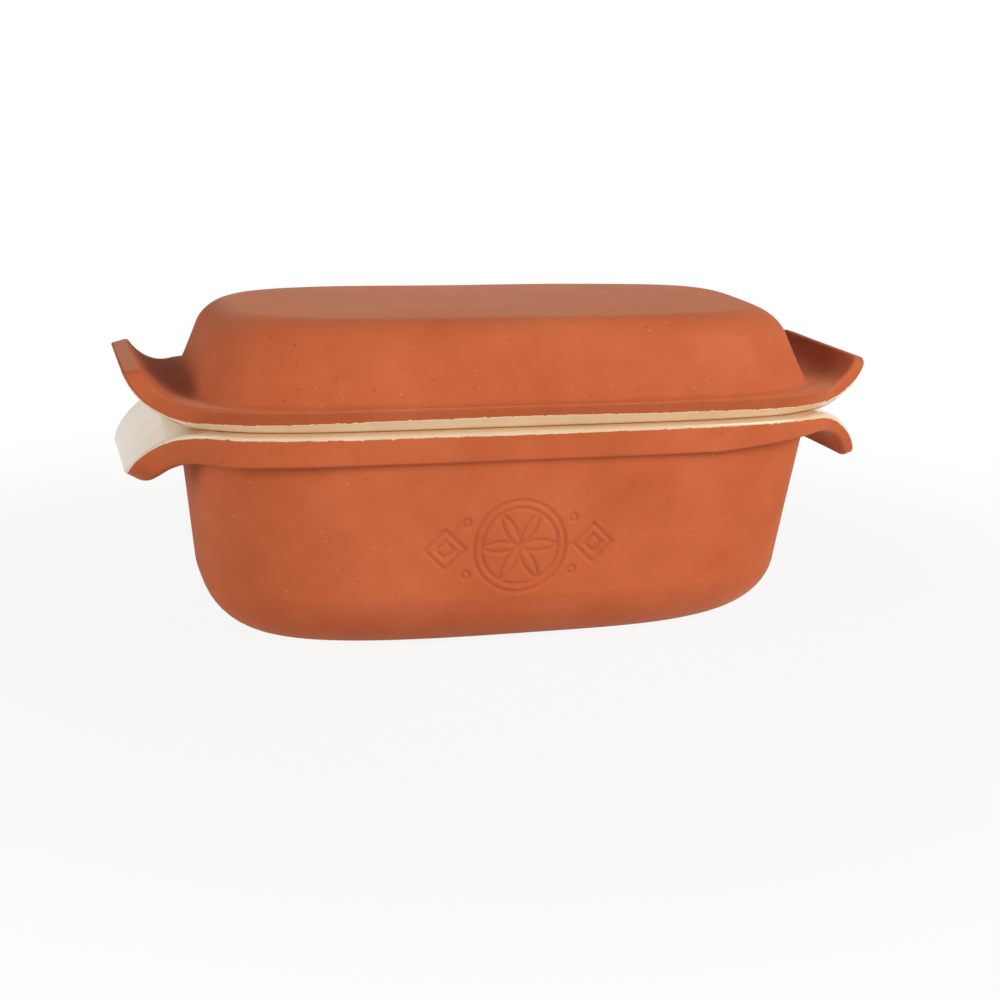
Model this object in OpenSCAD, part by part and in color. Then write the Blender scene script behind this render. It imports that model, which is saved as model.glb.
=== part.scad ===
// Covered bread pan in terracotta: a deep dish and the shallow dish that covers it, rim to rim.
// Both dishes are made by the same rules. Each is drawn with its seat at height 0 and its floor
// above it, as the lid lies. The pan is that dish turned over.
// The base stands on z = 0, the length lies along x, and the long sides face -y and +y.

/* [Rim, alike on both dishes] */
// Length of the rim without its ears
rim_l = 308.6; // [298:0.2:318]
// Width of the rim
rim_w = 151.6; // [142:0.2:162]
// How square the rim is in plan, where 2 is an ellipse
rim_square = 5.2; // [4.4:0.1:5.8]
// Rounding of the rim's glazed edge
rim_edge = 3.2; // [2.4:0.1:4]
// Rounding of the rim's bare edge
back_edge = 1; // [0.6:0.1:1.4]
// Rounding of the mouth
mouth_round = 2.5; // [1.5:0.1:3.5]

/* [Ears] */
// Width of an ear at its tip, before its corners are rounded
ear_w = 85; // [78:1:92]
// Lean of each side of an ear in plan, towards its tip
ear_taper = 17; // [12:1:20]
// Radius of an ear's corners in plan
ear_corner = 7.5; // [5:0.5:10]
// Fillet between an ear and the rim in plan
ear_fillet = 18; // [12:1:22]

/* [Pan] */
// Height of the pan
pan_h = 105; // [94:1:116]
// How far the rim stands out past the wall, at the ends
pan_ledge_l = 2.4; // [1.8:0.1:5]
// How far the rim stands out past the wall, along the sides
pan_ledge_w = 2.9; // [2:0.1:5]
// How square the pan's wall is at the rim, where 2 is an ellipse
pan_root_square = 3.6; // [3.1:0.1:4.1]
// Length of the flat base
pan_base_l = 206; // [196:1:216]
// Width of the flat base
pan_base_w = 79; // [70:1:84]
// How square the base is in plan, where 2 is an ellipse
pan_base_square = 3.1; // [2.8:0.1:3.6]
// Rounding from the base into the wall, along the length
pan_foot_l = 36; // [30:1:38]
// Rounding from the base into the wall, across the width
pan_foot_w = 33; // [27:1:34]
// Rounding from the base into the wall, in height
pan_foot_h = 32; // [26:1:38]
// Lean of the wall where the rounding ends
pan_lean = 9; // [6:1:14]
// Thickness of the pan's wall with its glaze
pan_wall = 7.5; // [6:0.1:9]
// Height of the pan's rim
pan_rim_t = 15; // [12:0.5:17]
// Fillet under the pan's rim
pan_fillet = 1.6; // [1:0.1:2]
// Rounding of the bare edge at the tips of the pan's ears
pan_tip_round = 5; // [2:0.5:6]

/* [Left ear of the pan] */
// Distance from the middle at which it starts to curl down
pan_left_start = 134; // [130:1:140]
// Distance from the middle to its tip, before its edges are rounded
pan_left_reach = 174.5; // [171:0.5:177]
// Drop at its tip
pan_left_drop = 24.5; // [18:0.5:27]
// Thickness at its tip
pan_left_tip = 12; // [9:0.5:13]

/* [Right ear of the pan] */
// Distance from the middle at which it starts to curl down
pan_right_start = 134.5; // [130:0.5:140]
// Distance from the middle to its tip, before its edges are rounded
pan_right_reach = 171.5; // [168:0.5:175]
// Drop at its tip
pan_right_drop = 27; // [20:0.5:29]
// Distance from the middle from which its rim thins
pan_right_thin = 88; // [80:2:130]
// Thickness at its tip
pan_right_tip = 6.5; // [6:0.5:9]

/* [Lid] */
// Height of the lid
lid_h = 44; // [39:1:51]
// How far the rim stands out past the wall, at the ends
lid_ledge_l = 12.5; // [10:0.5:15]
// How far the rim stands out past the wall, along the sides
lid_ledge_w = 4.7; // [3.5:0.1:7]
// Length of the flat top
lid_top_l = 233.6; // [224:0.2:238]
// Width of the flat top
lid_top_w = 101; // [93:1:106]
// How square the top is in plan, where 2 is an ellipse
lid_top_square = 4; // [3.6:0.1:4.8]
// Rounding from the top into the wall, along the length
lid_foot_l = 20; // [15:1:21]
// Rounding from the top into the wall, across the width
lid_foot_w = 15; // [11:1:16]
// Rounding from the top into the wall, in height
lid_foot_h = 18; // [14:1:20]
// Lean of the wall where the rounding ends
lid_lean = 20; // [14:1:26]
// Crown of the lid's top
lid_crown = 1; // [0.2:0.1:2]
// Thickness of the lid's wall with its glaze
lid_wall = 7; // [5.5:0.1:8.5]
// Height of the lid's rim
lid_rim_t = 9.5; // [8:0.5:12]
// Fillet between the lid's wall and its rim
lid_fillet = 4; // [2:0.5:5]
// Rounding of the bare edge at the tips of the lid's ears
lid_tip_round = 1.5; // [1:0.1:2.5]
// How level the ends of the lid's ears are cut, from 0 for square to 1 for level
lid_level_share = 1; // [0:0.1:1]

/* [Left ear of the lid] */
// Distance from the middle at which it starts to curl up
lid_left_start = 143; // [139:1:148]
// Distance from the middle to its tip, before its edges are rounded
lid_left_reach = 174; // [171:0.5:177]
// Rise at its tip
lid_left_rise = 22; // [16:0.5:25]
// Thickness at its tip
lid_left_tip = 8; // [7:0.5:10]

/* [Right ear of the lid] */
// Distance from the middle at which it starts to curl up
lid_right_start = 145; // [141:1:149]
// Distance from the middle to its tip, before its edges are rounded
lid_right_reach = 174; // [171:0.5:177]
// Rise at its tip
lid_right_rise = 20.5; // [15:0.5:24]
// Thickness at its tip
lid_right_tip = 6.5; // [5.5:0.5:8]

/* [Glaze and fit] */
// Thickness of the glaze
glaze_t = 0.5; // [0.3:0.05:0.8]
// Room between a clay body and its glaze
bond = 0.02; // [0.01:0.01:0.05]
// Gap between the two dishes
seat_gap = 0.3; // [0.2:0.05:0.6]

/* [Fineness] */
// Rings across the seat, and across the back of the rim
rim_steps = 4; // [3:1:5]

/* [Hidden] */

clay_colour = "#b96340";
glaze_colour = "#ead5b8";

degrees = 180 / PI;
// Steps along the rounding of the foot, and along each small rounding
foot_steps = 4;
edge_steps = 2;
// Rings of the crown, as shares of the flat top
crown_shares = [0.5];

// One oval of a dish is [half length, half width, squareness]
rim = [rim_l / 2, rim_w / 2, rim_square];
pan_root = [rim_l / 2 - pan_ledge_l, rim_w / 2 - pan_ledge_w, pan_root_square];
pan_base = [pan_base_l / 2, pan_base_w / 2, pan_base_square];
lid_root = [rim_l / 2 - lid_ledge_l, rim_w / 2 - lid_ledge_w, rim_square];
lid_top = [lid_top_l / 2, lid_top_w / 2, lid_top_square];

// One ear is [start of the curl, radius, turn at the tip, thickness at the tip, lean of its end,
// start of the thinning]
function ear(start, reach, rise, tip, level_share, thin) =
    let (run = reach - start, turn = 2 * atan(rise / run))
    [start, run / sin(turn), turn, tip, level_share / tan(turn), thin];
pan_ears = [
    ear(pan_left_start, pan_left_reach, pan_left_drop, pan_left_tip, 0, pan_left_start),
    ear(pan_right_start, pan_right_reach, pan_right_drop, pan_right_tip, 0, pan_right_thin)];
lid_ears = [
    ear(lid_left_start, lid_left_reach, lid_left_rise, lid_left_tip, lid_level_share, lid_left_start),
    ear(lid_right_start, lid_right_reach, lid_right_rise, lid_right_tip, lid_level_share, lid_right_start)];

// One dish is [root, floor, foot, height, wall, rim height, tip rounding, fillet, lean, crown, ears]
pan = [pan_root, pan_base, [pan_foot_l, pan_foot_w, pan_foot_h], pan_h, pan_wall,
    pan_rim_t, pan_tip_round, pan_fillet, pan_lean, 0, pan_ears];
lid = [lid_root, lid_top, [lid_foot_l, lid_foot_w, lid_foot_h], lid_h, lid_wall,
    lid_rim_t, lid_tip_round, lid_fillet, lid_lean, lid_crown, lid_ears];
function root(dish) = dish[0];
function base(dish) = dish[1];
function foot(dish) = dish[2];
function height(dish) = dish[3];
function wall(dish) = dish[4];
function rim_height(dish) = dish[5];
function tip_round(dish) = dish[6];
function fillet(dish) = dish[7];
function lean(dish) = dish[8];
function crown(dish) = dish[9];
function ears(dish) = dish[10];

function between(a, b, share) = a + (b - a) * share;
function reversed(list) = [for (i = [len(list) - 1 : -1 : 0]) list[i]];

// Length of an ear laid flat, from the middle of the dish
function flat_end(one_ear) = one_ear[0] + one_ear[1] * one_ear[2] / degrees;
flat_reach = max([for (one_ear = concat(pan_ears, lid_ears)) flat_end(one_ear)]);

// A quarter of a ring, from the middle of an ear's end to the middle of a long side, in stretches.
// Each is [the direction in which it ends, its number of steps]. Most points fall where plans turn:
// on the ear's corner, in its fillet and on the rim's corner.
side_slope = tan(ear_taper);
fillet_share = 0.3;
straight_share = 0.68;
stretches = [
    [0, 0],
    [atan2(ear_w / 2 - ear_corner, flat_reach), 2],
    [atan2(ear_w / 2 + side_slope * ear_corner, flat_reach - ear_corner), 3],
    [atan2(ear_w / 2 + side_slope * (flat_reach - rim_l / 2) + fillet_share * ear_fillet, rim_l / 2), 3],
    [atan2(rim_w / 2, straight_share * rim_l / 2), 4],
    [90, 4]];
quarter = [for (k = [1 : len(stretches) - 1], i = [0 : stretches[k][1] - 1])
    between(stretches[k - 1][0], stretches[k][0], i / stretches[k][1])];
half = concat(quarter, 90, reversed([for (i = [1 : len(quarter) - 1]) 180 - quarter[i]]));
// Directions in which every ring has its points
turns = concat(half, [for (turn = half) turn + 180]);
ring_points = len(turns);

// Distance from the middle to the edge of a rounded oval, in one direction
function reach(oval, turn) =
    pow(pow(abs(cos(turn)) / oval[0], oval[2]) + pow(abs(sin(turn)) / oval[1], oval[2]), -1 / oval[2]);
function reaches(oval) = [for (turn = turns) reach(oval, turn)];
function grown(oval, room) = [oval[0] + room, oval[1] + room, oval[2]];
// The same for a tongue with round corners, which is w wide each way at its end, l from the middle.
// Well inside the rim its sides run straight along.
tongue_root = rim_l / 2 - 1.5 * ear_fillet;
function tongue_reach(l, w, corner, turn) =
    let (x = abs(cos(turn)), y = abs(sin(turn)), side = sqrt(1 + side_slope * side_slope),
        centre = [l - corner, w + (side_slope - side) * corner],
        leave = centre + corner / side * [side_slope, 1], along = centre * [x, y])
    l * y < centre.y * x ? l / x :
    y * leave.x > x * leave.y ?
        (let (r = (w + side_slope * l) / (y + side_slope * x))
        r * x > tongue_root ? r : (w + side_slope * (l - tongue_root)) / y) :
    along + sqrt(along * along - centre * centre + corner * corner);
// The larger of two lengths, with a fillet where they are nearly alike
function blended(a, b, room) =
    let (near = max(room - abs(a - b), 0) / room) max(a, b) + near * near * room / 4;

function ear_at(dish, x) = ears(dish)[x < 0 ? 0 : 1];
// How far a point lies on its way from a place of its ear, 0, to the tip, 1
function share_from(start, one_ear, x) = min(max(abs(x) - start, 0) / (flat_end(one_ear) - start), 1);
function ear_share(dish, x) = let (one = ear_at(dish, x)) share_from(one[0], one, x);
// Plan of the rim with its ears laid flat, drawn in from its edge, in one direction or in all
function eared_at(dish, turn, inset) =
    let (side = sqrt(1 + side_slope * side_slope), end = flat_end(ear_at(dish, cos(turn))) - inset)
    blended(reach(grown(rim, -inset), turn),
        tongue_reach(end, ear_w / 2 - inset * (side - side_slope), ear_corner - inset, turn), ear_fillet);
function item(value, i) = is_list(value) ? value[i] : value;
function eared(dish, inset) = [for (i = [0 : ring_points - 1]) eared_at(dish, turns[i], item(inset, i))];
// Thickness of the rim, which thins toward the tips of the ears
function rim_at(dish, x) =
    let (one = ear_at(dish, x)) between(rim_height(dish), one[3], share_from(one[5], one, x));
// Rounding of the rim's bare edge, which grows along the ears as far as their thickness allows
function back_rounds(dish) = [for (turn = turns)
    let (x = eared_at(dish, turn, 0) * cos(turn))
    min(between(back_edge, tip_round(dish), ear_share(dish, x)), rim_at(dish, x) - rim_edge - back_edge)];

// A point of the flat rim, curled away from the seat along the arc of its ear, whose end leans
function curled(dish, p) =
    let (one = ear_at(dish, p.x), along = abs(p.x) - one[0] - one[4] * ear_share(dish, p.x) * p.z,
        turn = along / one[1] * degrees, arc = one[1] - p.z)
    along <= 0 ? p : [sign(p.x) * (one[0] + arc * sin(turn)), p.y, one[1] - arc * cos(turn)];

// A level ring of the wall, and a ring of the rim. The rim's ring lies at a share of its thickness
// above the seat, plus a rise. A rise, like an inset, is one value or a list of one for each point.
function level(reaches, z) =
    [for (i = [0 : ring_points - 1]) [reaches[i] * cos(turns[i]), reaches[i] * sin(turns[i]), z]];
function rim_ring(dish, reaches, thickness_share, rise) = [for (i = [0 : ring_points - 1])
    let (x = reaches[i] * cos(turns[i]), y = reaches[i] * sin(turns[i]))
    curled(dish, [x, y, thickness_share * rim_at(dish, x) + item(rise, i)])];

// Rings of the glazed side, from the floor out to the edge of the glaze, a depth under its surface
function foot_oval(dish, turn, depth) =
    [base(dish)[0] + (foot(dish)[0] - depth) * sin(turn), base(dish)[1] + (foot(dish)[1] - depth) * sin(turn),
        between(base(dish)[2], root(dish)[2], (1 - cos(turn)) * foot(dish)[2] / height(dish))];
function foot_z(dish, turn, depth) = height(dish) - depth - (foot(dish)[2] - depth) * (1 - cos(turn));
function foot_rings(dish, depth) = [for (i = [0 : foot_steps])
    let (turn = i / foot_steps * (90 - lean(dish)))
    level(reaches(foot_oval(dish, turn, depth)), foot_z(dish, turn, depth))];
function lining(dish, depth) =
    let (skin = wall(dish) - depth, mouth = reaches(grown(root(dish), -wall(dish) + mouth_round)),
        lip = eared(dish, rim_edge))
    concat(
        foot_rings(dish, skin),
        [for (i = [0 : edge_steps]) let (turn = 90 * i / edge_steps, r = mouth_round - depth)
            rim_ring(dish, reaches(grown(root(dish), -wall(dish) + mouth_round - r * cos(turn))),
                0, mouth_round - r * sin(turn))],
        [for (i = [1 : rim_steps]) rim_ring(dish, between(mouth, lip, i / rim_steps), 0, depth)],
        [for (i = [1 : edge_steps]) let (turn = 90 * i / edge_steps, r = rim_edge - depth)
            rim_ring(dish, eared(dish, rim_edge - r * sin(turn)), 0, rim_edge - r * cos(turn))]);

// Rings of the bare side, from the edge of the glaze round the rim and over the wall to the base
function back(dish, depth) =
    let (inner = reaches(grown(root(dish), fillet(dish))), rounds = back_rounds(dish), outer = eared(dish, rounds))
    concat(
        [rim_ring(dish, eared(dish, depth), 0, rim_edge + bond), rim_ring(dish, eared(dish, 0), 0, rim_edge + bond)],
        [for (i = [0 : edge_steps]) let (turn = 90 * i / edge_steps)
            rim_ring(dish, eared(dish, (1 - cos(turn)) * rounds), 1, (sin(turn) - 1) * rounds)],
        [for (i = [1 : rim_steps - 1]) rim_ring(dish, between(outer, inner, i / rim_steps), 1, 0)],
        [for (i = [0 : edge_steps]) let (turn = 90 * i / edge_steps)
            rim_ring(dish, reaches(grown(root(dish), fillet(dish) * (1 - sin(turn)))),
                1, fillet(dish) * (1 - cos(turn)))],
        reversed(foot_rings(dish, 0)),
        crown(dish) == 0 ? [] : [for (share = crown_shares)
            level(share * reaches(base(dish)), height(dish) + crown(dish) * (1 - share * share))]);

// A closed skin over rings, out along the first and then back along the second. Both parts are cut
// into triangles by diagonals that run the same way round, so that two skins can nest.
module skin(out, return) {
    n = ring_points;
    rings = concat(out, return);
    last = len(rings) - 1;
    points = [for (ring = rings, p = ring) p];
    sides = [for (k = [0 : last - 1], i = [0 : n - 1], corner = [0, 1])
        let (j = (i + 1) % n, low = k * n, high = low + n)
        k < len(out) ?
            (corner == 0 ? [low + i, high + j, low + j] : [low + i, high + i, high + j]) :
            (corner == 0 ? [low + i, high + i, low + j] : [low + j, high + i, high + j])];
    floor_cap = [[for (i = [0 : n - 1]) i]];
    top_cap = [[for (i = [n - 1 : -1 : 0]) last * n + i]];
    polyhedron(points, concat(sides, floor_cap, top_cap), convexity = 6);
}

module clay(dish) {
    depth = glaze_t + bond;
    skin(lining(dish, depth), back(dish, depth));
}

module glaze(dish) skin(lining(dish, 0), reversed(lining(dish, glaze_t)));

// A dish turned over, so that its seat faces up
module as_pan() translate([0, 0, pan_h]) rotate([180, 0, 0]) children();
module as_lid() translate([0, 0, pan_h + seat_gap]) children();

module pan_body() color(clay_colour) as_pan() clay(pan);
module pan_glaze() color(glaze_colour) as_pan() glaze(pan);
module lid_body() color(clay_colour) as_lid() clay(lid);
module lid_glaze() color(glaze_colour) as_lid() glaze(lid);

pan_body();
pan_glaze();
lid_body();
lid_glaze();
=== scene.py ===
# %% [markdown]
# # A covered bread pan in terracotta
# The object is a deep dish and the shallow dish that lies over it, rim to rim. Both are fired red clay with
# a cream glaze inside, over the faces of the rim and over the ears. Nothing else is on it, so the lesson is
# about two soft forms, two finishes and the uneven line where they meet.

import math
import bpy
from mathutils import Matrix, Vector, noise


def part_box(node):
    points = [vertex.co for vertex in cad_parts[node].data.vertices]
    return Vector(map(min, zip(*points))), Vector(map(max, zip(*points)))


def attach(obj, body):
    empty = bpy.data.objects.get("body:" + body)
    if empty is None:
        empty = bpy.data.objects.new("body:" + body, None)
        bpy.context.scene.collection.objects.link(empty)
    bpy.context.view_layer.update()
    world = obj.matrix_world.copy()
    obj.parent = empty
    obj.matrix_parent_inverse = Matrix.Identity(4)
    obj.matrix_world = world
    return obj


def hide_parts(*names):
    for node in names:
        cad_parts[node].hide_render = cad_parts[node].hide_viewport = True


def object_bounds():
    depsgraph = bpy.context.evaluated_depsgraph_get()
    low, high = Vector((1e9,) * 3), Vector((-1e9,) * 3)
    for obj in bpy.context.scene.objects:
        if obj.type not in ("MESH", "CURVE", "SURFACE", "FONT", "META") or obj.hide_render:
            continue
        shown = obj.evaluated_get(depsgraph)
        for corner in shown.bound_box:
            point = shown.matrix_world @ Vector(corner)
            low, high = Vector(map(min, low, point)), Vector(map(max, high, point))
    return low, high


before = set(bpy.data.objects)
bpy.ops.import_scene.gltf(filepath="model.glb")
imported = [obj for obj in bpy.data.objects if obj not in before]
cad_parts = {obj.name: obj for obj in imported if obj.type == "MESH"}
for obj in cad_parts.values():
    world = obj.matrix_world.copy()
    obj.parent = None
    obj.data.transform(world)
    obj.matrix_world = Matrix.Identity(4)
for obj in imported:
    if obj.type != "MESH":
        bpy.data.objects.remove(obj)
cad_low, cad_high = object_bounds()
print("frame:", sorted(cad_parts), "box", [round(v, 4) for v in (*cad_low, *cad_high)])

# %% [markdown]
# ## The camera
# A photograph fixes where its camera stood. The two rims are long level curves one above the other, and
# how open each looks gives the height of the eye. How much the near end of the object looms over the far
# end gives the distance, and so the lens. The camera is aimed from a point near the middle of the object,
# back along the line of sight, which keeps every number in it a real angle or length.

# %% The camera
mm = 0.001
PHOTO_WIDTH, SENSOR_WIDTH = 1000, 36


def add_camera(azimuth, elevation, roll, aim, distance, focal_pixels):
    """A camera from its angles in degrees, the point it is aimed from and how far back it stands."""
    a, e, r = (math.radians(v) for v in (azimuth, elevation, roll))
    back = Vector((math.sin(a) * math.cos(e), -math.cos(a) * math.cos(e), math.sin(e)))
    level = Vector((math.cos(a), math.sin(a), 0))
    upward = back.cross(level)
    right = math.cos(r) * level + math.sin(r) * upward
    up = math.cos(r) * upward - math.sin(r) * level
    data = bpy.data.cameras.new("camera")
    data.sensor_width = SENSOR_WIDTH
    data.lens = SENSOR_WIDTH * focal_pixels / PHOTO_WIDTH
    camera = bpy.data.objects.new("camera", data)
    bpy.context.scene.collection.objects.link(camera)
    turned = Matrix((right, up, back)).transposed().to_4x4()
    camera.matrix_world = Matrix.Translation(aim + back * distance) @ turned
    data.clip_start, data.clip_end = 0.01, 100
    return camera


camera = add_camera(azimuth=-15.97, elevation=14.72, roll=1.53, aim=Vector((5.99, 0, 52.18)) * mm,
                    distance=844.3 * mm, focal_pixels=1749.8)
bpy.context.scene.camera = camera
bpy.context.scene.view_settings.view_transform = "Standard"
print("camera at", [round(v, 3) for v in camera.location], "lens", round(camera.data.lens, 1))

# %% [markdown]
# ## The sizes of the two dishes
# Both dishes follow one rule. Each is thought of with its seat, the face that meets the other dish, at
# height 0 and its floor above it. The pan is such a dish turned over. The heights of the two seats and the
# rise of the lid's crown are read from the frame. The rest are sizes in millimetres, most of them as on the
# solids.
#
# A pair gives the left and the right end, or a size along and across. The wall leaves the rim at its root,
# a little inside the rim's own edge, and rounds at its foot into the flat base. A square number says how
# close to a rectangle a rounded oval comes. An ear curls from its start to its reach while it drops away
# from the seat, and the rim begins to thin at thins. The lip is the rounding of the seat's outer edge, the
# face of the rim leans in toward it, and the glaze covers the face up to its edge.

# %% The sizes
pan_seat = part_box("pan_glaze")[1].z / mm
lid_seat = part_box("lid_glaze")[0].z / mm
lid_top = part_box("lid_body")[1].z / mm
RIM = dict(length=308.6, width=151.6, square=5.2, least_face=4.2)
EAR = dict(width=85, taper=17, fillet=18)
EAR["root"] = RIM["length"] / 2 - 1.5 * EAR["fillet"]
MOUTH_ROUND = 2.5
GLAZE = 0.5
LID_HEIGHT = 44

PAN = dict(
    name="pan", height=pan_seat, crown=0,
    root_inset=(2.4, 2.9), root_square=3.6, base=(206, 79), base_square=3.1,
    foot=(36, 33, 32), lean=9, wall=7.5, rim=15, tips=(12, 6.5), tip_round=5, fillet=1.6, back=1.1,
    starts=(134, 134.5), reaches=(174.5, 171.5), drops=(24.5, 27), thins=(134, 88), level=0,
    lip=(2.0, 1.4), face_lean=0.3, meet=1.3, edge=3.2, corners=(18, 7.5), tip_inset=0.8, fillet_high=3.6)
LID = dict(
    name="lid", height=LID_HEIGHT, crown=lid_top - lid_seat - LID_HEIGHT,
    root_inset=(12.5, 4.7), root_square=5.2, base=(233.6, 101), base_square=4,
    foot=(20, 15, 18), lean=20, wall=7, rim=9.5, tips=(8, 6.5), tip_round=1.5, fillet=4, back=1,
    starts=(143, 145), reaches=(174, 174), drops=(22, 20.5), thins=(143, 145), level=1,
    lip=(0.9, 0.9), face_lean=5.0, meet=-1.5, edge=3.7, corners=(7.5, 7.5), tip_inset=0, fillet_high=4)
print("pan seat at", round(pan_seat, 2), "lid seat at", round(lid_seat, 2), "crown", round(LID["crown"], 2))

# %% [markdown]
# ## Plans as distances from the middle
# Seen from above, every ring of a dish is a rounded oval, and a rounded oval is easily written as how far
# its edge lies from the middle in each direction. A superellipse does this for the walls: with an exponent
# of 2 it is an ellipse, and the higher the exponent, the squarer it gets. The rim is such an oval with an
# ear at each end. An ear is a tapering tongue with round corners, joined to the oval by a small fillet.

# %% Plans
LEAST_CORNER, LEAST_SINE = 0.5, 0.001


def end_of(x):
    """Which of a pair of sizes holds at a place along the dish: the left one or the right one."""
    return 0 if x < 0 else 1


def oval_reach(half_length, half_width, square, turn):
    """How far the edge of a rounded oval lies from its middle in one direction."""
    along = (abs(math.cos(turn)) / half_length) ** square
    across = (abs(math.sin(turn)) / half_width) ** square
    return (along + across) ** (-1 / square)


def tongue_reach(end, half_width, corner, slope, turn):
    """The same for an ear's tongue: its end, its slanted side as far in as the root, or its round corner."""
    x, y = abs(math.cos(turn)), abs(math.sin(turn))
    hypot = math.hypot(1, slope)
    centre_x, centre_y = end - corner, half_width + slope * corner - corner * hypot
    side_x, side_y = centre_x + corner * slope / hypot, centre_y + corner / hypot
    if end * y < centre_y * x:
        return end / x
    if y * side_x > x * side_y:
        slanted = (half_width + slope * end) / (y + slope * x)
        straight = (half_width + slope * (end - EAR["root"])) / max(y, LEAST_SINE)
        return slanted if slanted * x > EAR["root"] else straight
    along = centre_x * x + centre_y * y
    return along + math.sqrt(max(along * along - centre_x**2 - centre_y**2 + corner**2, 0))


def blended(a, b, room):
    """The greater of two reaches, with a fillet where they are nearly equal."""
    near = max(room - abs(a - b), 0) / room
    return max(a, b) + near * near * room / 4


def ear_of(dish, x):
    """Start of the curl, radius, turn at the tip and thickness there, for the ear on x's side."""
    side = end_of(x)
    start, run = dish["starts"][side], dish["reaches"][side] - dish["starts"][side]
    turn = 2 * math.atan(dish["drops"][side] / run)
    return start, run / math.sin(turn), turn, dish["tips"][side]


def ear_share(dish, x):
    """0 up to the start of an ear's curl and 1 at its tip."""
    start, radius, turn, _ = ear_of(dish, x)
    return min(max(abs(x) - start, 0) / (radius * turn), 1)


def rim_reach(dish, inset, turn):
    """How far the rim reaches in one direction before its ears are curled, less an inset all round."""
    start, radius, bend, _ = ear_of(dish, math.cos(turn))
    slope = math.tan(math.radians(EAR["taper"]))
    side_inset = inset * (math.hypot(1, slope) - slope)
    corner = max(dish["corners"][end_of(math.cos(turn))] - inset, LEAST_CORNER)
    oval = oval_reach(RIM["length"] / 2 - inset, RIM["width"] / 2 - inset, RIM["square"], turn)
    tongue = tongue_reach(start + radius * bend - inset, EAR["width"] / 2 - side_inset, corner, slope, turn)
    return blended(oval, tongue, EAR["fillet"])


def curled(dish, x, y, z):
    """A point of the flat rim, bent away from the seat along the arc of its ear, whose end may lean."""
    start, radius, turn, _ = ear_of(dish, x)
    lean = dish["level"] / math.tan(turn) * ear_share(dish, x)
    bend = (abs(x) - start - lean * z) / radius
    if bend <= 0:
        return x, y, z
    return math.copysign(start + (radius - z) * math.sin(bend), x), y, radius - (radius - z) * math.cos(bend)


print("rim reaches", round(rim_reach(PAN, 0, 0), 1), "mm flat at the right ear")

# %% [markdown]
# ## Where the columns of points go
# A mesh of rings looks smooth if its points lie close where the form turns. Walking once round the rim,
# the script counts a fine step on the ears and on the part of the front wall that carries the pressed
# ornament, and a coarse one along the plain sides. Columns at equal counts then fall where they are needed.
# The glaze is counted finely all round, for its uneven edge.

# %% Columns
ORNAMENT = dict(x=-5, z=50, half_width=47, half_height=30, room=6)
FINE_STEP, EDGE_STEP, EAR_STEP, SIDE_STEP = 0.6, 0.7, 1.4, 3.0
EARS_FROM = 130
WALK_STEPS = 7200


def plain_step(x, y):
    return EAR_STEP if abs(x) > EARS_FROM else SIDE_STEP


def ornament_step(x, y):
    """Fine on the front, which is the far side of the dish before it is turned over."""
    on_front = y > 0 and abs(x - ORNAMENT["x"]) < ORNAMENT["half_width"] + ORNAMENT["room"]
    return FINE_STEP if on_front else plain_step(x, y)


def edge_step(x, y):
    return EDGE_STEP


def columns(dish, step_at):
    """The directions of a dish's columns, at equal counts of the steps that step_at asks for."""
    turns = [2 * math.pi * i / WALK_STEPS for i in range(WALK_STEPS + 1)]
    points = [(rim_reach(dish, 0, t) * math.cos(t), rim_reach(dish, 0, t) * math.sin(t)) for t in turns]
    cost = [0]
    for (x, y), (x2, y2) in zip(points, points[1:]):
        cost.append(cost[-1] + math.hypot(x2 - x, y2 - y) / step_at(x, y))
    total = round(cost[-1])
    found, i = [], 0
    for k in range(total):
        want = cost[-1] * k / total
        while cost[i + 1] < want:
            i += 1
        share = (want - cost[i]) / (cost[i + 1] - cost[i])
        found.append(turns[i] + (turns[i + 1] - turns[i]) * share)
    return found


PAN["turns"], LID["turns"] = columns(PAN, ornament_step), columns(LID, plain_step)
print("columns:", len(PAN["turns"]), "round the pan and", len(LID["turns"]), "round the lid")

# %% [markdown]
# ## Rings of one dish
# A ring is a list of points, one in each column. The glazed side runs from the middle of the floor, down
# the wall, round the mouth, out over the seat and round the edge of the rim. The bare side runs back from
# there, under the rim, round the fillet and over the wall to the middle of the base. Each is the same set
# of rules with another depth under the surface.
#
# The face of the rim is not upright. It leans in from its back edge to the seat, the more so on the lid,
# and the faces that meet lie a little lower than on the solids. Both fade along the ears, whose tips part.

# %% Rings
LEAN_LOST = 0.75
MEET_FADES = 0.4
FLOOR_SHARES = (0.02, 0.3, 0.6, 0.85)
NEARLY_WHOLE = 0.9999


def rim_x(dish, turn):
    """The place along the dish of the flat rim's edge in one direction."""
    return rim_reach(dish, 0, turn) * math.cos(turn)


def flat_ring(dish, reach, z):
    return [(reach(t) * math.cos(t), reach(t) * math.sin(t), z) for t in dish["turns"]]


def rim_ring(dish, reach, height):
    """A ring on the rim. reach asks for a direction, height for the place along the dish."""
    ring = []
    for t in dish["turns"]:
        r = reach(t)
        x, y = r * math.cos(t), r * math.sin(t)
        ring.append(curled(dish, x, y, height(x)))
    return ring


def rim_at(dish, x):
    """Thickness of the rim, which thins toward the tips of the ears."""
    start, radius, turn, tip = ear_of(dish, x)
    thin = dish["thins"][end_of(x)]
    share = min(max(abs(x) - thin, 0) / (start + radius * turn - thin), 1)
    return dish["rim"] + (tip - dish["rim"]) * share


def meet_at(dish, x):
    """How high above the solids' seat the face lies that meets the other dish. It fades along an ear."""
    return dish["meet"] * (1 - min(ear_share(dish, x) / MEET_FADES, 1))


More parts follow.
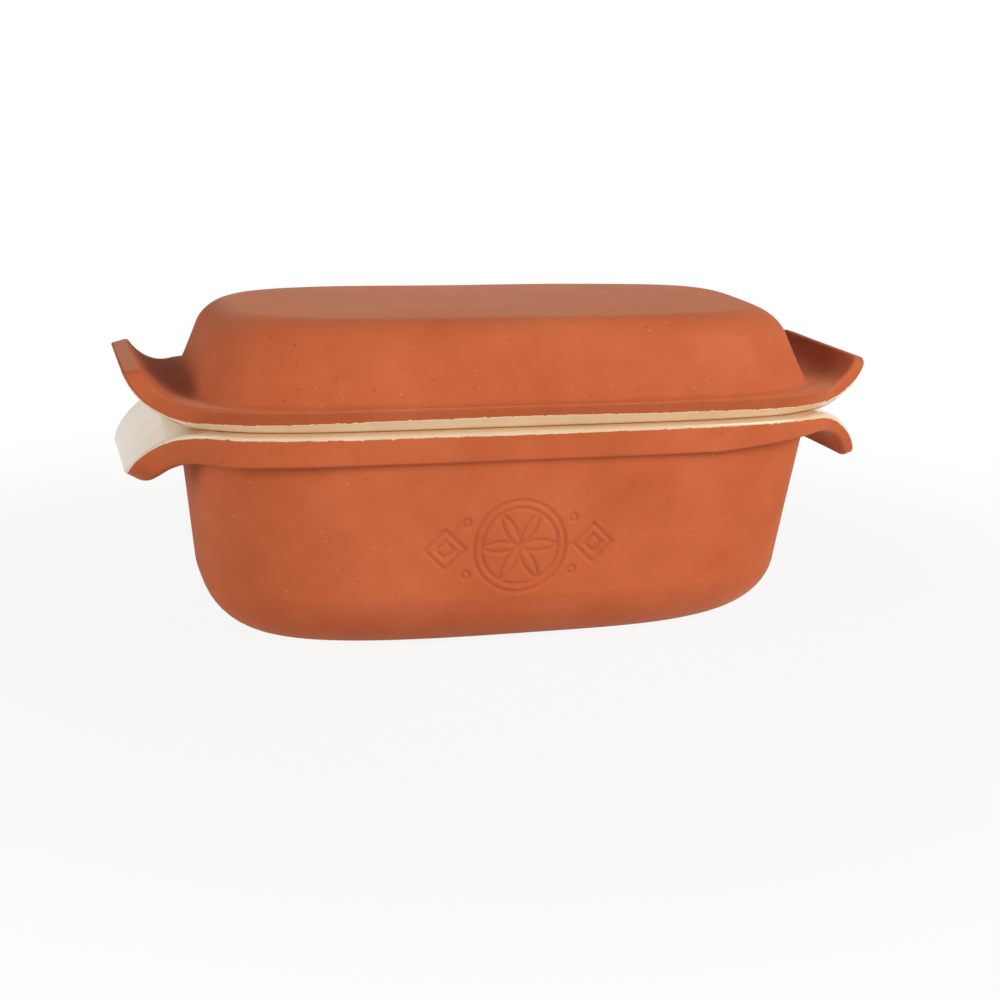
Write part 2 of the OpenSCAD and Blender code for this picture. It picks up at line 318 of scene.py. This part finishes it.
def root_reach(dish, room):
    """How far the wall reaches where it leaves the rim, with some room added all round."""
    half_length = RIM["length"] / 2 - dish["root_inset"][0] + room
    half_width = RIM["width"] / 2 - dish["root_inset"][1] + room
    return lambda t: oval_reach(half_length, half_width, dish["root_square"], t)


def foot_ring(dish, turn, depth):
    """A ring on the rounding between base and wall, from 0 at the base up to the wall's slant."""
    along, across, high = dish["foot"]
    square = dish["base_square"] + (dish["root_square"] - dish["base_square"]) * (
        (1 - math.cos(turn)) * high / dish["height"])
    half_length = dish["base"][0] / 2 + (along - depth) * math.sin(turn)
    half_width = dish["base"][1] / 2 + (across - depth) * math.sin(turn)
    z = dish["height"] - depth - (high - depth) * (1 - math.cos(turn))
    return flat_ring(dish, lambda t: oval_reach(half_length, half_width, square, t), z)


def floor_rings(dish, depth, shares):
    half_length, half_width = dish["base"][0] / 2, dish["base"][1] / 2
    return [flat_ring(dish, lambda t: s * oval_reach(half_length, half_width, dish["base_square"], t),
                      dish["height"] - depth + dish["crown"] * (1 - s * s)) for s in shares]


def steps(count):
    """Even shares from 0 to 1."""
    return [i / count for i in range(count + 1)]


def back_round(dish, x):
    """The rounding of the rim's back edge, which grows toward the tip of an ear."""
    share = ear_share(dish, x)
    return min(dish["back"] * (1 - share) + dish["tip_round"] * share, rim_at(dish, x) - RIM["least_face"])


def drawn_in(dish, x):
    """How far the rim's edge is drawn in toward the tip of an ear."""
    return dish["tip_inset"] * ear_share(dish, x) ** 2


def lip_inset(dish, x, height):
    """How far in the face of the rim lies at a height: it leans out from the seat to its back edge."""
    lean = dish["face_lean"] * (1 - LEAN_LOST * ear_share(dish, x))
    high = rim_at(dish, x) - back_round(dish, x)
    return lean * max((high - height) / high, 0) + drawn_in(dish, x)


def lip_length(dish):
    """The length of the lip's quarter round, near enough."""
    return math.pi / 4 * sum(dish["lip"])


def lip_point(dish, t, u, depth):
    """A point u along the rim's outer edge: round the lip first, then up the face."""
    along, high = dish["lip"]
    x = rim_x(dish, t)
    length = lip_length(dish)
    if u < length:
        turn = math.pi / 2 * u / length
        inset = along - (along - depth) * math.sin(turn)
        z = meet_at(dish, x) + high - (high - depth) * math.cos(turn)
    else:
        z = meet_at(dish, x) + high + u - length
        inset = depth
    r = rim_reach(dish, inset + lip_inset(dish, x, z), t)
    return curled(dish, r * math.cos(t), r * math.sin(t), z)


def whole_lip(dish):
    """An end for the glazed side that stops just short of the face, so that its last ring is on the lip."""
    return lambda t: NEARLY_WHOLE * lip_length(dish)


def glazed_side(dish, depth, end):
    """From the middle of the floor out over the lip, as far as end says in each direction."""
    under = dish["wall"] - depth
    rings = floor_rings(dish, under, FLOOR_SHARES)
    rings += [foot_ring(dish, s * math.radians(90 - dish["lean"]), under) for s in steps(10)]
    mouth = MOUTH_ROUND - depth
    for s in steps(5):
        turn = math.pi / 2 * s
        rings.append(rim_ring(dish, root_reach(dish, -dish["wall"] + MOUTH_ROUND - mouth * math.cos(turn)),
                              lambda x: MOUTH_ROUND - (mouth - meet_at(dish, x)) * math.sin(turn)))
    inner = root_reach(dish, -dish["wall"] + MOUTH_ROUND)

    def seat_height(x):
        return depth + meet_at(dish, x)

    def outer(t):
        x = rim_x(dish, t)
        return rim_reach(dish, dish["lip"][0] + lip_inset(dish, x, seat_height(x)), t)

    for s in steps(8)[1:]:
        rings.append(rim_ring(dish, lambda t: inner(t) + (outer(t) - inner(t)) * s, seat_height))
    for s in steps(12)[1:]:
        rings.append([lip_point(dish, t, s * end(t), depth) for t in dish["turns"]])
    return rings


def bare_side(dish, inset):
    """From the edge of the rim over the back of the dish to the middle of its base."""
    def face_height(t):
        x = rim_x(dish, t)
        return thick(x) - back_round(dish, x) - dish["lip"][1] - meet_at(dish, x)

    def back_reach(t, share):
        x = rim_x(dish, t)
        return rim_reach(dish, inset + drawn_in(dish, x) + back_round(dish, x) * share, t)

    def thick(x):
        return rim_at(dish, x)

    rings = [[lip_point(dish, t, lip_length(dish) + s * face_height(t), inset) for t in dish["turns"]]
             for s in steps(8)]
    for s in steps(6)[1:]:
        turn = math.pi / 2 * s
        rings.append(rim_ring(dish, lambda t: back_reach(t, 1 - math.cos(turn)),
                              lambda x: thick(x) + back_round(dish, x) * (math.sin(turn) - 1)))
    inner = root_reach(dish, dish["fillet"])
    for s in steps(8)[1:-1]:
        rings.append(rim_ring(dish, lambda t: back_reach(t, 1) + (inner(t) - back_reach(t, 1)) * s, thick))
    for s in steps(5):
        turn = math.pi / 2 * s
        rings.append(rim_ring(dish, root_reach(dish, dish["fillet"] * (1 - math.sin(turn))),
                              lambda x: thick(x) + dish["fillet_high"] * (1 - math.cos(turn))))
    rings += [foot_ring(dish, s * math.radians(90 - dish["lean"]), 0) for s in reversed(steps(14))]
    return rings + floor_rings(dish, 0, FLOOR_SHARES[::-1])


ring_counts = len(glazed_side(LID, 0, whole_lip(LID))), len(bare_side(LID, 0))
print("rings of a dish:", ring_counts[0], "on its glazed side and", ring_counts[1], "on its back")

# %% [markdown]
# ## From rings to a closed mesh
# Rings become a skin when each point is joined to its neighbours, and the two middle rings are closed by
# one face each. Long gaps between rings are filled with more rings on straight lines between them, so that
# the quads stay near square and the clay's small unevenness has points to move.

# %% Skins
LOOK_EVERY = 7


def filled(rings, step_at_height):
    """The same rings with more between them wherever they lie far apart."""
    out = [rings[0]]
    for a, b in zip(rings, rings[1:]):
        i = max(range(0, len(a), LOOK_EVERY), key=lambda k: (Vector(a[k]) - Vector(b[k])).length)
        gap = (Vector(a[i]) - Vector(b[i])).length
        count = max(1, round(gap / step_at_height((a[i][2] + b[i][2]) / 2)))
        for k in range(1, count + 1):
            share = k / count
            out.append([tuple(p + (q - p) * share for p, q in zip(pa, pb)) for pa, pb in zip(a, b)])
    return out


def placed(dish, point):
    """A point of a dish, moved to where the dish lies: the lid on its seat, the pan turned over."""
    x, y, z = point
    if dish["name"] == "pan":
        return Vector((x, -y, pan_seat - z))
    return Vector((x, y, lid_seat + z))


def skin(name, dish, rings, shape):
    """A closed mesh from the rings of a dish, with each point placed and then moved by shape."""
    n = len(dish["turns"])
    points = [shape(placed(dish, p)) * mm for ring in rings for p in ring]
    faces = []
    for k in range(len(rings) - 1):
        for i in range(n):
            j = (i + 1) % n
            faces.append((k * n + i, k * n + j, (k + 1) * n + j, (k + 1) * n + i))
    faces.append(tuple(range(n - 1, -1, -1)))
    faces.append(tuple((len(rings) - 1) * n + i for i in range(n)))
    mesh = bpy.data.meshes.new(name)
    mesh.from_pydata(points, [], faces)
    mesh.shade_smooth()
    mesh.validate()
    piece = bpy.data.objects.new(name, mesh)
    bpy.context.scene.collection.objects.link(piece)
    print(name, len(points), "points", len(faces), "faces")
    return piece

# %% [markdown]
# ## Fired clay is never quite true
# A dish is pressed wet and leans a little before it is fired. The whole form is bent by one slow random
# field, which moves clay and glaze together, so that nothing nested in it can come apart. It is a fraction
# of a millimetre. Up and down it fades at the seat, where the two dishes have to meet, and at the base.
#
# A fault is left in this step. Blender shifts this kind of noise by a random start, which is new in each run
# because no seed is set, so the form differs a little from run to run. The cure would be to set a seed.

# %% The slow unevenness
WARP_LENGTH, WARP, WARP_FADES = 60, 0.35, 12
cad_corners = (cad_low / mm, cad_high / mm)


def kept_inside(p):
    """A point kept inside the box of the solids, which the looks must not outgrow."""
    low, high = cad_corners
    return Vector(min(max(v, a), b) for v, a, b in zip(p, low, high))


def warped(p):
    from_seat = min(abs(p.z - pan_seat), abs(p.z - lid_seat))
    fade = min(from_seat / WARP_FADES, p.z / WARP_FADES, 1)
    drift = noise.noise_vector(p / WARP_LENGTH) * WARP
    return kept_inside(p + Vector((drift.x, drift.y, drift.z * max(fade, 0))))


print("the form drifts by up to", WARP, "mm over", WARP_LENGTH, "mm")

# %% [markdown]
# ## The pressed ornament
# The front wall carries a stamp pressed into the wet clay. It is a plain compass drawing: a six-petal
# rosette in two rings, with a lozenge and two dots on either side. A stamp leaves narrow grooves with soft
# shoulders, so the drawing is written as a distance to the nearest line, and the depth falls off with it.
#
# A fault is left in this step. It asks only whether a point lies at the front, so it presses the wall's inner
# face along with the outer one, and the lines come through the glaze inside the pan. The lid hides that until
# it is lifted. The cure would be to press the outer face alone.

# %% The ornament's lines
GROOVE_WIDTH, GROOVE_DEPTH = 1.05, 0.85
SHOULDER = dict(height=0.12, away=1.6, narrow=3)
ROSETTE, RING_GAP = 21, 3.5
LOZENGE_AT, LOZENGES = 34, (9, 4)
DOT_AT, DOT = (24.4, 12), 1.6


def to_ring(x, y, centre_x, centre_y, radius):
    """Distance to the line of a circle."""
    return abs(math.hypot(x - centre_x, y - centre_y) - radius)


def to_petals(x, y, radius):
    """Distance to six arcs of one radius, each struck from a point of the ring and kept inside it."""
    if math.hypot(x, y) > radius:
        return radius
    centres = [(radius * math.cos(k * math.pi / 3), radius * math.sin(k * math.pi / 3)) for k in range(6)]
    return min(to_ring(x, y, cx, cy, radius) for cx, cy in centres)


def to_lozenge(x, y, centre_x, half):
    """Distance to the line of a square that stands on its corner."""
    u, v = abs(x - centre_x) / half, abs(y) / half
    return abs(u + v - 1) * half * half / math.hypot(half, half)


def ornament_distance(x, y):
    inner = ROSETTE - RING_GAP
    rosette = (to_petals(x, y, inner), to_ring(x, y, 0, 0, inner), to_ring(x, y, 0, 0, ROSETTE))
    lozenges = (to_lozenge(abs(x), y, LOZENGE_AT, half) for half in LOZENGES)
    dots = (to_ring(abs(x), y, DOT_AT[0], level, DOT) for level in (DOT_AT[1], -DOT_AT[1]))
    return min(*rosette, *lozenges, *dots)


def pressed(p):
    """The groove's depth at a point of the front wall, on its outer and its inner face alike."""
    x, y = p.x - ORNAMENT["x"], p.z - ORNAMENT["z"]
    if p.y > 0 or abs(x) > ORNAMENT["half_width"] or abs(y) > ORNAMENT["half_height"]:
        return 0
    near = ornament_distance(x, y) / GROOVE_WIDTH
    shoulder = SHOULDER["height"] * math.exp(-((near - SHOULDER["away"]) ** 2) * SHOULDER["narrow"])
    return GROOVE_DEPTH * math.exp(-near * near * 2) - shoulder


print("the ornament is", 2 * (LOZENGE_AT + LOZENGES[0]), "mm wide and", 2 * ROSETTE, "mm high")

# %% [markdown]
# ## The clay of both dishes
# Under the glaze the clay should only stay hidden, so it lies a little deeper there. On the bare side it is
# the surface itself, set in by a tenth of a millimetre on the rim's face, where the glaze comes up over it.
# The two runs of rings join at the edge of the rim into one closed skin for each dish.

# %% Clay
CLAY_UNDER_GLAZE, CLAY_INSET = 0.35, 0.12
ORNAMENT_GAP, WALL_GAP, COARSE_GAP = 0.7, 5, 6


def coarse(height):
    return COARSE_GAP


def fine_at_ornament(height):
    level = pan_seat - height
    return ORNAMENT_GAP if abs(level - ORNAMENT["z"]) < ORNAMENT["half_height"] else WALL_GAP


def clay_shape(p):
    q = warped(p)
    return q + Vector((0, pressed(p), 0))


def clay(dish, step):
    rings = glazed_side(dish, CLAY_UNDER_GLAZE, whole_lip(dish)) + bare_side(dish, CLAY_INSET)
    return skin(dish["name"] + "_clay", dish, filled(rings, step), clay_shape)


pan_clay = clay(PAN, fine_at_ornament)
lid_clay = clay(LID, coarse)

# %% [markdown]
# ## The glaze of both dishes
# The glaze is poured in and the rim is dipped, and the wet edge stops where it likes. Its line wanders by
# a fraction of a millimetre and has small notches, which says more about a real glaze than its gloss does.
# On the lid it sags toward the ends. Along an ear it draws back to the edge, and on the tips of the pan it
# comes a little way over again. The coat is a closed skin too: out over the seat, round the edge with a soft
# bead, and back inside the clay.

# %% Glaze
WANDER, WAVE, NOTCH = dict(size=0.35, over=45), dict(size=0.25, over=7), dict(size=0.6, over=1.9)
LOWEST_EDGE = -0.7
SAG = dict(pan=0, lid=1.2, over=115, most=1.3)
EAR_LOST, EAR_FADES = 0.9, (0.9, 1.4)
TIP = dict(pan=0.6, lid=0, start=0.85)
BEAD = ((0.12, 0.03), (0.2, 0.1), (0.22, 0.2), (0.1, 0.4))


def drawn_noise(x, y, over, level):
    return noise.noise(Vector((x / over, y / over, level)))


def edge_drift(dish, x, y):
    """How much farther than planned the glaze's edge runs at a place, in millimetres."""
    level = 0 if dish["name"] == "pan" else 70
    slow = drawn_noise(x, y, WANDER["over"], level) * WANDER["size"]
    quick = drawn_noise(x, y, WAVE["over"], level + 9) * WAVE["size"]
    notch = drawn_noise(x, y, NOTCH["over"], level + 21)
    return max(slow + quick + notch * abs(notch) * 2 * NOTCH["size"], LOWEST_EDGE)


def glaze_end(dish, t):
    """How far along the rim's outer edge the glaze runs: all of the lip, and ever less along an ear."""
    x, y = (rim_reach(dish, 0, t) * v for v in (math.cos(t), math.sin(t)))
    sag = SAG[dish["name"]] * min((x / SAG["over"]) ** 2, SAG["most"])
    high = dish["lip"][1] + meet_at(dish, x)
    run = lip_length(dish) + dish["edge"] - high - sag + edge_drift(dish, x, y)
    share = ear_share(dish, x)
    tip = TIP[dish["name"]] * max(share - TIP["start"], 0) / (1 - TIP["start"])
    return run * (1 - EAR_LOST * share ** EAR_FADES[end_of(x)] + tip)


def glaze(dish):
    ends = {t: glaze_end(dish, t) for t in dish["turns"]}
    outer = filled(glazed_side(dish, 0, ends.get), coarse)
    inner = filled(glazed_side(dish, GLAZE, ends.get)[::-1], coarse)
    bead = [[lip_point(dish, t, ends[t] + past, depth) for t in dish["turns"]] for past, depth in BEAD]
    return skin(dish["name"] + "_glaze_coat", dish, outer + bead + inner, warped)


for dish in (PAN, LID):
    dish["turns"] = columns(dish, edge_step)
pan_coat = glaze(PAN)
lid_coat = glaze(LID)

# %% [markdown]
# ## A small hand for materials
# Each finish is a graph of nodes. One helper adds a node with its settings and its links, so that a
# material reads as a list of what is on the surface. Colours are written as they look on a screen and are
# turned to the linear light values that the renderer works in.

# %% Helpers for materials


def linear(code):
    """The linear light values of an sRGB hex colour, with full alpha."""
    values = [int(code[i:i + 2], 16) / 255 for i in (1, 3, 5)]
    return (*(v / 12.92 if v < 0.04045 else ((v + 0.055) / 1.055) ** 2.4 for v in values), 1)


def add(tree, kind, inputs=None, **settings):
    """Adds one node. A value of inputs is a number, a colour or another node's output."""
    node = tree.nodes.new("ShaderNode" + kind)
    for key, value in settings.items():
        setattr(node, key, value)
    for key, value in (inputs or {}).items():
        if isinstance(value, bpy.types.NodeSocket):
            tree.links.new(value, node.inputs[key])
        else:
            node.inputs[key].default_value = value
    return node


def ramp(tree, factor, stops):
    """A colour that changes with a factor, from stops of a place and a hex colour."""
    node = add(tree, "ValToRGB", {"Fac": factor})
    points = node.color_ramp.elements
    while len(points) < len(stops):
        points.new(0.5)
    for point, (place, colour) in zip(points, stops):
        point.position = place
        point.color = linear(colour)
    return node.outputs["Color"]


def new_material(name):
    material = bpy.data.materials.new(name)
    material.use_nodes = True
    tree = material.node_tree
    tree.nodes.clear()
    shader = add(tree, "BsdfPrincipled")
    add(tree, "OutputMaterial", {"Surface": shader.outputs["BSDF"]})
    return material, tree, shader


def per_metre(size):
    """The scale of a pattern whose features are size millimetres wide."""
    return 1 / (size * mm)


print("helpers ready; one unit of a 5 mm pattern is scale", per_metre(5))

# %% [markdown]
# ## Fired terracotta
# Terracotta is a red earthenware, pressed in a mould, wiped with a damp sponge and fired without glaze. It
# is matt and slightly porous: a dusty bloom where it is seen at a flat angle, a faint cloudiness from the
# fire, fine sandy grain, and a few pits and pale specks where grog shows, with some splashes of glaze near
# the rims. Its grain is a tenth of a millimetre, which no picture of the whole pan can show, so it is drawn
# at almost one millimetre.

# %% Terracotta
CLAY_CLOUD, CLAY_PATCH, CLAY_GRAIN, CLAY_PIT, CLAY_WIPE = 45, 12, 0.8, 3.2, 5
WIPE_STRETCH = (0.12, 0.12, 1.0)
PIT_CORE, PIT_RIM = 0.10, 0.17
DARK_FROM, PALE_FROM, DARK_MIX, PALE_MIX = 0.93, 0.95, 0.45, 0.3
SPLASH_BAND, SPLASH_MORE = 0.011, 0.06


def terracotta():
    material, tree, shader = new_material("fired_terracotta")
    place = add(tree, "TexCoord").outputs["Object"]
    cloud = add(tree, "TexNoise", {"Vector": place, "Scale": per_metre(CLAY_CLOUD), "Detail": 3.0})
    patch = add(tree, "TexNoise", {"Vector": place, "Scale": per_metre(CLAY_PATCH), "Detail": 4.0})
    grain = add(tree, "TexNoise", {"Vector": place, "Scale": per_metre(CLAY_GRAIN), "Detail": 3.0})
    tone = ramp(tree, cloud.outputs["Fac"], [(0.3, "#bf643d"), (0.5, "#c66b44"), (0.7, "#ce734d")])
    patched = add(tree, "MixRGB", {"Fac": 0.2, "Color1": tone, "Color2": ramp(
        tree, patch.outputs["Fac"], [(0.35, "#b85d38"), (0.65, "#cf754e")])})
    grained = add(tree, "MixRGB", {"Fac": 0.10, "Color1": patched.outputs["Color"], "Color2": ramp(
        tree, grain.outputs["Fac"], [(0.3, "#8a4226"), (0.7, "#e29a76")])}, blend_type="OVERLAY")
    speck = add(tree, "TexVoronoi", {"Vector": place, "Scale": per_metre(CLAY_PIT)})
    draw = add(tree, "SeparateColor", {"Color": speck.outputs["Color"]})
    small = add(tree, "MapRange", {"Value": speck.outputs["Distance"], "From Min": PIT_CORE,
                                   "From Max": PIT_RIM, "To Min": 1.0, "To Max": 0.0}).outputs["Result"]
    dark_pick = add(tree, "Math", {0: draw.outputs["Red"], 1: DARK_FROM}, operation="GREATER_THAN")
    dark = add(tree, "Math", {0: small, 1: dark_pick.outputs["Value"]}, operation="MULTIPLY")
    height = add(tree, "SeparateXYZ", {"Vector": place})
    by_seat = add(tree, "Math", {0: height.outputs["Z"], 1: pan_seat * mm, 2: SPLASH_BAND},
                  operation="COMPARE")
    splash = add(tree, "Math", {0: by_seat.outputs["Value"], 1: SPLASH_MORE}, operation="MULTIPLY")
    pale_draw = add(tree, "Math", {0: draw.outputs["Green"], 1: splash.outputs["Value"]}, operation="ADD")
    pale_pick = add(tree, "Math", {0: pale_draw.outputs["Value"], 1: PALE_FROM}, operation="GREATER_THAN")
    pale = add(tree, "Math", {0: small, 1: pale_pick.outputs["Value"]}, operation="MULTIPLY")
    colour = grained.outputs["Color"]
    for spots, mix, code in ((dark, DARK_MIX, "#7d3c22"), (pale, PALE_MIX, "#e6b394")):
        share = add(tree, "Math", {0: spots.outputs["Value"], 1: mix}, operation="MULTIPLY")
        colour = add(tree, "MixRGB", {"Fac": share.outputs["Value"], "Color1": colour,
                                      "Color2": linear(code)}).outputs["Color"]
    tree.links.new(colour, shader.inputs["Base Color"])
    along = add(tree, "Mapping", {"Vector": place, "Scale": WIPE_STRETCH})
    wipe = add(tree, "TexNoise", {"Vector": along.outputs["Vector"], "Scale": per_metre(CLAY_WIPE),
                                  "Detail": 4.0})
    rough = add(tree, "MapRange", {"Value": patch.outputs["Fac"], "To Min": 0.68, "To Max": 0.84})
    tree.links.new(rough.outputs["Result"], shader.inputs["Roughness"])
    shader.inputs["IOR"].default_value = 1.5
    shader.inputs["Specular IOR Level"].default_value = 0.15
    shader.inputs["Sheen Weight"].default_value = 0.27
    shader.inputs["Sheen Roughness"].default_value = 0.4
    shader.inputs["Sheen Tint"].default_value = linear("#ffe0c6")
    relief = add(tree, "Bump", {"Height": patch.outputs["Fac"], "Strength": 0.22, "Distance": 0.0012})
    for marks, strength, distance, sunk in ((wipe.outputs["Fac"], 0.12, 0.0005, False),
                                            (grain.outputs["Fac"], 0.16, 0.0004, False),
                                            (dark.outputs["Value"], 0.5, 0.0005, True)):
        relief = add(tree, "Bump", {"Height": marks, "Normal": relief.outputs["Normal"], "Strength": strength,
                                    "Distance": distance}, invert=sunk)
    tree.links.new(relief.outputs["Normal"], shader.inputs["Normal"])
    return material


clay_finish = terracotta()
for piece in (pan_clay, lid_clay):
    piece.data.materials.append(clay_finish)
print("material:", clay_finish.name, "with", len(clay_finish.node_tree.nodes), "nodes")

# %% [markdown]
# ## Cream glaze
# The glaze is an opaque ivory glass half a millimetre thick. It is glossy and even. Along the line where the
# two rims meet it is painted browner, as painted shade for the crevice between them. Seen close it has a slow
# ripple from how it flowed, and rare pinholes.

# %% Cream glaze
GLAZE_CLOUD, GLAZE_RIPPLE, PINHOLE = 30, 9, 6
HOLE_CORE, HOLE_RIM, HOLE_FROM = 0.035, 0.06, 0.88
CREVICE_SHADE_CORE, CREVICE_SHADE_RIM, CREVICE_SHADE_MIX = 0.0002, 0.0018, 0.4


def cream_glaze():
    material, tree, shader = new_material("cream_glaze")
    place = add(tree, "TexCoord").outputs["Object"]
    cloud = add(tree, "TexNoise", {"Vector": place, "Scale": per_metre(GLAZE_CLOUD), "Detail": 3.0})
    ripple = add(tree, "TexNoise", {"Vector": place, "Scale": per_metre(GLAZE_RIPPLE), "Detail": 2.0})
    tone = ramp(tree, cloud.outputs["Fac"], [(0.3, "#e7cfae"), (0.55, "#ecd8bb"), (0.75, "#f0e0c8")])
    hole = add(tree, "TexVoronoi", {"Vector": place, "Scale": per_metre(PINHOLE)})
    draw = add(tree, "SeparateColor", {"Color": hole.outputs["Color"]})
    tiny = add(tree, "MapRange", {"Value": hole.outputs["Distance"], "From Min": HOLE_CORE,
                                  "From Max": HOLE_RIM, "To Min": 1.0, "To Max": 0.0})
    pick = add(tree, "Math", {0: draw.outputs["Red"], 1: HOLE_FROM}, operation="GREATER_THAN")
    pinhole = add(tree, "Math", {0: tiny.outputs["Result"], 1: pick.outputs["Value"]}, operation="MULTIPLY")
    dotted = add(tree, "MixRGB", {"Fac": pinhole.outputs["Value"], "Color1": tone,
                                  "Color2": linear("#9a5b3c")})
    height = add(tree, "SeparateXYZ", {"Vector": place})
    # Painted shade: the glaze is mixed browner in a thin line at the height where the two rims meet, standing
    # in for the shade in the crevice between them.
    rise = add(tree, "Math", {0: height.outputs["Z"], 1: (pan_seat - PAN["meet"]) * mm}, operation="SUBTRACT")
    off_line = add(tree, "Math", {0: rise.outputs["Value"]}, operation="ABSOLUTE")
    crevice_shade = add(tree, "MapRange", {"Value": off_line.outputs["Value"], "From Min": CREVICE_SHADE_CORE,
                                    "From Max": CREVICE_SHADE_RIM, "To Min": CREVICE_SHADE_MIX, "To Max": 0.0},
                 interpolation_type="SMOOTHSTEP")
    seam_shaded = add(tree, "MixRGB", {"Fac": crevice_shade.outputs["Result"], "Color1": dotted.outputs["Color"],
                                  "Color2": linear("#c99a6a")})
    tree.links.new(seam_shaded.outputs["Color"], shader.inputs["Base Color"])
    shader.inputs["Roughness"].default_value = 0.16
    shader.inputs["IOR"].default_value = 1.52
    shader.inputs["Coat Weight"].default_value = 0.35
    shader.inputs["Coat Roughness"].default_value = 0.06
    flow = add(tree, "Bump", {"Height": ripple.outputs["Fac"], "Strength": 0.10, "Distance": 0.001})
    pocked = add(tree, "Bump", {"Height": pinhole.outputs["Value"], "Normal": flow.outputs["Normal"],
                                "Strength": 0.5, "Distance": 0.0004}, invert=True)
    tree.links.new(pocked.outputs["Normal"], shader.inputs["Normal"])
    return material


glaze_finish = cream_glaze()
for piece in (pan_coat, lid_coat):
    piece.data.materials.append(glaze_finish)
print("material:", glaze_finish.name, "with", len(glaze_finish.node_tree.nodes), "nodes")

# %% [markdown]
# ## What each piece stands for
# The four meshes take the place of the four solids. Each rides on the body of its own dish, so the lid and
# its glaze rise together.

# %% Riding
for piece, node, body, slot in (
        (pan_clay, "pan_body", "pan", "terracotta"), (pan_coat, "pan_glaze", "pan", "cream_glaze"),
        (lid_clay, "lid_body", "lid", "terracotta"), (lid_coat, "lid_glaze", "lid", "cream_glaze")):
    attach(piece, body)
    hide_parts(node)

# %% [markdown]
# ## Floor, light and air
# The object stands on a sheet of white paper. A large soft light comes from the front right, a weaker one
# from the left and a very weak one from above. Around the pan a tenth of the paper's look is left to real
# light, so that a soft shadow stays. Farther out it is plain white to the camera, to reflections and
# through glass, and so is the air.

# %% Floor and light
FLOOR_SIZE = 12
SHADOW_REACH, SHADOW_END, WHITE_NEAR = 0.2, 0.5, 0.9


def floor():
    half = FLOOR_SIZE / 2
    corners = [(-half, -half, 0), (half, -half, 0), (half, half, 0), (-half, half, 0)]
    mesh = bpy.data.meshes.new("floor")
    mesh.from_pydata(corners, [], [(0, 1, 2, 3)])
    piece = bpy.data.objects.new("floor", mesh)
    bpy.context.scene.collection.objects.link(piece)
    material, tree, shader = new_material("white_paper")
    shader.inputs["Base Color"].default_value = linear("#dedcd8")
    shader.inputs["Roughness"].default_value = 0.9
    shader.inputs["Specular IOR Level"].default_value = 0.1
    place = add(tree, "NewGeometry").outputs["Position"]
    away = add(tree, "VectorMath", {0: place}, operation="LENGTH")
    bare = add(tree, "MapRange", {"Value": away.outputs["Value"], "From Min": SHADOW_REACH,
                                  "From Max": SHADOW_END, "To Min": WHITE_NEAR, "To Max": 1.0},
               interpolation_type="SMOOTHSTEP")
    glow = add(tree, "Emission", {"Color": (1, 1, 1, 1), "Strength": 1.0})
    share = add(tree, "Math", {0: seen_ray(tree), 1: bare.outputs["Result"]}, operation="MULTIPLY")
    mixed = add(tree, "MixShader", {0: share.outputs["Value"], 1: shader.outputs["BSDF"],
                                    2: glow.outputs["Emission"]})
    tree.links.new(mixed.outputs["Shader"], tree.nodes["Material Output"].inputs["Surface"])
    mesh.materials.append(material)
    return piece


def seen_ray(tree):
    """1 for what the camera sees, straight on, mirrored or through glass, and 0 for light that only falls."""
    path = add(tree, "LightPath")
    seen = path.outputs["Is Camera Ray"]
    for kind in ("Is Glossy Ray", "Is Transmission Ray"):
        both = add(tree, "Math", {0: seen, 1: path.outputs[kind]}, operation="ADD", use_clamp=True)
        seen = both.outputs["Value"]
    return seen


def area_light(name, place, aim, size, watts, colour):
    """A soft lamp as large as size, turned toward the point it is aimed at."""
    data = bpy.data.lights.new(name, "AREA")
    data.shape = "RECTANGLE"
    data.size, data.size_y = size
    data.energy = watts
    data.color = linear(colour)[:3]
    lamp = bpy.data.objects.new(name, data)
    lamp.location = place
    lamp.rotation_mode = "QUATERNION"
    lamp.rotation_quaternion = (Vector(aim) - Vector(place)).to_track_quat("-Z", "Y")
    bpy.context.scene.collection.objects.link(lamp)
    return lamp


floor()
area_light("key", place=(1.3, -1.25, 0.95), aim=(0, 0, 0.07), size=(0.9, 0.9), watts=32, colour="#fff3e4")
area_light("fill", place=(-1.7, -0.9, 0.6), aim=(0, 0, 0.07), size=(1.2, 1.0), watts=20, colour="#fdf8f2")
area_light("top", place=(0.1, 0.5, 1.6), aim=(0, 0, 0.1), size=(1.6, 1.2), watts=1, colour="#fdf8f2")
world = bpy.data.worlds.new("studio")
bpy.context.scene.world = world
world.use_nodes = True
world.node_tree.nodes.clear()
sky = add(world.node_tree, "Background", {"Color": linear("#faf3ea"), "Strength": 0.07})
white = add(world.node_tree, "Background", {"Color": (1, 1, 1, 1), "Strength": 1.0})
air = add(world.node_tree, "MixShader", {0: seen_ray(world.node_tree), 1: sky.outputs["Background"],
                                         2: white.outputs["Background"]})
add(world.node_tree, "OutputWorld", {"Surface": air.outputs["Shader"]})
